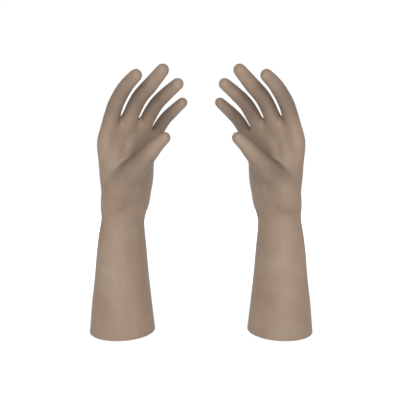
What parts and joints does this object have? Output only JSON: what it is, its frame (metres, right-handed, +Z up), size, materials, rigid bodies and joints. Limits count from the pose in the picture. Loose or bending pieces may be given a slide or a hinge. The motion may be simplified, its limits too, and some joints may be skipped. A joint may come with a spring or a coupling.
{
  "type": "electrical insulating gloves",
  "caption": "Pair of long dipped rubber insulating gloves, left and right, standing on their open flared cuffs with curled fingers and opposed thumbs.",
  "frame": {"origin": "on the ground under the middle of the pair, at the centre of its bounding box", "axes": "+Z up along the sleeves, +X from the left glove to the right glove, -Y the way the palms partly face"},
  "size_m": [0.3138, 0.1388, 0.3689],
  "materials": {
    "dipped_rubber": "matt natural rubber latex, dipped on a former, taupe beige"
  },
  "bodies": {
    "root": {"left_gauntlet": "dipped_rubber", "left_wrist_fold": "dipped_rubber", "right_gauntlet": "dipped_rubber", "right_wrist_fold": "dipped_rubber"},
    "left_hand": {"left_hand": "dipped_rubber", "left_index_root_fold": "dipped_rubber", "left_middle_root_fold": "dipped_rubber", "left_ring_root_fold": "dipped_rubber", "left_little_root_fold": "dipped_rubber", "left_thumb_root_fold": "dipped_rubber"},
    "left_index_base": {"left_index_base": "dipped_rubber", "left_index_middle_fold": "dipped_rubber"},
    "left_index_tip": {"left_index_tip": "dipped_rubber"},
    "left_middle_base": {"left_middle_base": "dipped_rubber", "left_middle_middle_fold": "dipped_rubber"},
    "left_middle_tip": {"left_middle_tip": "dipped_rubber"},
    "left_ring_base": {"left_ring_base": "dipped_rubber", "left_ring_middle_fold": "dipped_rubber"},
    "left_ring_tip": {"left_ring_tip": "dipped_rubber"},
    "left_little_base": {"left_little_base": "dipped_rubber", "left_little_middle_fold": "dipped_rubber"},
    "left_little_tip": {"left_little_tip": "dipped_rubber"},
    "left_thumb_base": {"left_thumb_base": "dipped_rubber", "left_thumb_middle_fold": "dipped_rubber"},
    "left_thumb_tip": {"left_thumb_tip": "dipped_rubber"},
    "right_hand": {"right_hand": "dipped_rubber", "right_index_root_fold": "dipped_rubber", "right_middle_root_fold": "dipped_rubber", "right_ring_root_fold": "dipped_rubber", "right_little_root_fold": "dipped_rubber", "right_thumb_root_fold": "dipped_rubber"},
    "right_index_base": {"right_index_base": "dipped_rubber", "right_index_middle_fold": "dipped_rubber"},
    "right_index_tip": {"right_index_tip": "dipped_rubber"},
    "right_middle_base": {"right_middle_base": "dipped_rubber", "right_middle_middle_fold": "dipped_rubber"},
    "right_middle_tip": {"right_middle_tip": "dipped_rubber"},
    "right_ring_base": {"right_ring_base": "dipped_rubber", "right_ring_middle_fold": "dipped_rubber"},
    "right_ring_tip": {"right_ring_tip": "dipped_rubber"},
    "right_little_base": {"right_little_base": "dipped_rubber", "right_little_middle_fold": "dipped_rubber"},
    "right_little_tip": {"right_little_tip": "dipped_rubber"},
    "right_thumb_base": {"right_thumb_base": "dipped_rubber", "right_thumb_middle_fold": "dipped_rubber"},
    "right_thumb_tip": {"right_thumb_tip": "dipped_rubber"}
  },
  "joints": [
    {"name": "left_wrist_flex", "type": "hinge", "parent": "root", "child": "left_hand", "pos_m": [-0.10867, 0.02439, 0.155], "axis": [0.7314, 0.682, 0], "range_deg": [-20, 12], "stiffness_Nm_per_rad": 2, "deforming": ["left_wrist_fold"]},
    {"name": "left_index_root_flex", "type": "hinge", "parent": "left_hand", "child": "left_index_base", "pos_m": [-0.11115, -0.02646, 0.31176], "axis": [0.7309, 0.6816, -0.0349], "range_deg": [-20, 35], "stiffness_Nm_per_rad": 0.4, "deforming": ["left_index_root_fold"]},
    {"name": "left_index_middle_flex", "type": "hinge", "parent": "left_index_base", "child": "left_index_tip", "pos_m": [-0.09886, -0.03839, 0.33623], "axis": [0.7309, 0.6816, -0.0349], "range_deg": [-25, 40], "stiffness_Nm_per_rad": 0.2, "deforming": ["left_index_middle_fold"]},
    {"name": "left_middle_root_flex", "type": "hinge", "parent": "left_hand", "child": "left_middle_base", "pos_m": [-0.0837, -0.02272, 0.31846], "axis": [0.7312, 0.6819, -0.0175], "range_deg": [-20, 35], "stiffness_Nm_per_rad": 0.4, "deforming": ["left_middle_root_fold"]},
    {"name": "left_middle_middle_flex", "type": "hinge", "parent": "left_middle_base", "child": "left_middle_tip", "pos_m": [-0.06608, -0.04106, 0.34], "axis": [0.7312, 0.6819, -0.0175], "range_deg": [-25, 40], "stiffness_Nm_per_rad": 0.2, "deforming": ["left_middle_middle_fold"]},
    {"name": "left_ring_root_flex", "type": "hinge", "parent": "left_hand", "child": "left_ring_base", "pos_m": [-0.06255, -0.01105, 0.31093], "axis": [0.7312, 0.6819, -0.0175], "range_deg": [-20, 35], "stiffness_Nm_per_rad": 0.4, "deforming": ["left_ring_root_fold"]},
    {"name": "left_ring_middle_flex", "type": "hinge", "parent": "left_ring_base", "child": "left_ring_tip", "pos_m": [-0.04629, -0.02801, 0.32938], "axis": [0.7312, 0.6819, -0.0175], "range_deg": [-25, 40], "stiffness_Nm_per_rad": 0.2, "deforming": ["left_ring_middle_fold"]},
    {"name": "left_little_root_flex", "type": "hinge", "parent": "left_hand", "child": "left_little_base", "pos_m": [-0.0535, 0.01056, 0.29085], "axis": [0.7309, 0.6816, -0.0349], "range_deg": [-20, 35], "stiffness_Nm_per_rad": 0.4, "deforming": ["left_little_root_fold"]},
    {"name": "left_little_middle_flex", "type": "hinge", "parent": "left_little_base", "child": "left_little_tip", "pos_m": [-0.03935, -0.00378, 0.30715], "axis": [0.7309, 0.6816, -0.0349], "range_deg": [-25, 40], "stiffness_Nm_per_rad": 0.2, "deforming": ["left_little_middle_fold"]},
    {"name": "left_thumb_root_flex", "type": "hinge", "parent": "left_hand", "child": "left_thumb_base", "pos_m": [-0.08218, -0.02169, 0.23978], "axis": [-0.7189, -0.4462, 0.5329], "range_deg": [-15, 20], "stiffness_Nm_per_rad": 0.6, "deforming": ["left_thumb_root_fold"]},
    {"name": "left_thumb_middle_flex", "type": "hinge", "parent": "left_thumb_base", "child": "left_thumb_tip", "pos_m": [-0.06342, -0.02775, 0.25963], "axis": [-0.7189, -0.4462, 0.5329], "range_deg": [-15, 30], "stiffness_Nm_per_rad": 0.3, "deforming": ["left_thumb_middle_fold"]},
    {"name": "right_wrist_flex", "type": "hinge", "parent": "root", "child": "right_hand", "pos_m": [0.10867, 0.02439, 0.155], "axis": [0.7314, -0.682, 0], "range_deg": [-20, 12], "stiffness_Nm_per_rad": 2, "deforming": ["right_wrist_fold"]},
    {"name": "right_index_root_flex", "type": "hinge", "parent": "right_hand", "child": "right_index_base", "pos_m": [0.11115, -0.02646, 0.31176], "axis": [0.7309, -0.6816, 0.0349], "range_deg": [-20, 35], "stiffness_Nm_per_rad": 0.4, "deforming": ["right_index_root_fold"]},
    {"name": "right_index_middle_flex", "type": "hinge", "parent": "right_index_base", "child": "right_index_tip", "pos_m": [0.09886, -0.03839, 0.33623], "axis": [0.7309, -0.6816, 0.0349], "range_deg": [-25, 40], "stiffness_Nm_per_rad": 0.2, "deforming": ["right_index_middle_fold"]},
    {"name": "right_middle_root_flex", "type": "hinge", "parent": "right_hand", "child": "right_middle_base", "pos_m": [0.0837, -0.02272, 0.31846], "axis": [0.7312, -0.6819, 0.0175], "range_deg": [-20, 35], "stiffness_Nm_per_rad": 0.4, "deforming": ["right_middle_root_fold"]},
    {"name": "right_middle_middle_flex", "type": "hinge", "parent": "right_middle_base", "child": "right_middle_tip", "pos_m": [0.06608, -0.04106, 0.34], "axis": [0.7312, -0.6819, 0.0175], "range_deg": [-25, 40], "stiffness_Nm_per_rad": 0.2, "deforming": ["right_middle_middle_fold"]},
    {"name": "right_ring_root_flex", "type": "hinge", "parent": "right_hand", "child": "right_ring_base", "pos_m": [0.06255, -0.01105, 0.31093], "axis": [0.7312, -0.6819, 0.0175], "range_deg": [-20, 35], "stiffness_Nm_per_rad": 0.4, "deforming": ["right_ring_root_fold"]},
    {"name": "right_ring_middle_flex", "type": "hinge", "parent": "right_ring_base", "child": "right_ring_tip", "pos_m": [0.04629, -0.02801, 0.32938], "axis": [0.7312, -0.6819, 0.0175], "range_deg": [-25, 40], "stiffness_Nm_per_rad": 0.2, "deforming": ["right_ring_middle_fold"]},
    {"name": "right_little_root_flex", "type": "hinge", "parent": "right_hand", "child": "right_little_base", "pos_m": [0.0535, 0.01056, 0.29085], "axis": [0.7309, -0.6816, 0.0349], "range_deg": [-20, 35], "stiffness_Nm_per_rad": 0.4, "deforming": ["right_little_root_fold"]},
    {"name": "right_little_middle_flex", "type": "hinge", "parent": "right_little_base", "child": "right_little_tip", "pos_m": [0.03935, -0.00378, 0.30715], "axis": [0.7309, -0.6816, 0.0349], "range_deg": [-25, 40], "stiffness_Nm_per_rad": 0.2, "deforming": ["right_little_middle_fold"]},
    {"name": "right_thumb_root_flex", "type": "hinge", "parent": "right_hand", "child": "right_thumb_base", "pos_m": [0.08218, -0.02169, 0.23978], "axis": [-0.7189, 0.4462, -0.5329], "range_deg": [-15, 20], "stiffness_Nm_per_rad": 0.6, "deforming": ["right_thumb_root_fold"]},
    {"name": "right_thumb_middle_flex", "type": "hinge", "parent": "right_thumb_base", "child": "right_thumb_tip", "pos_m": [0.06342, -0.02775, 0.25963], "axis": [-0.7189, 0.4462, -0.5329], "range_deg": [-15, 30], "stiffness_Nm_per_rad": 0.3, "deforming": ["right_thumb_middle_fold"]}
  ]
}
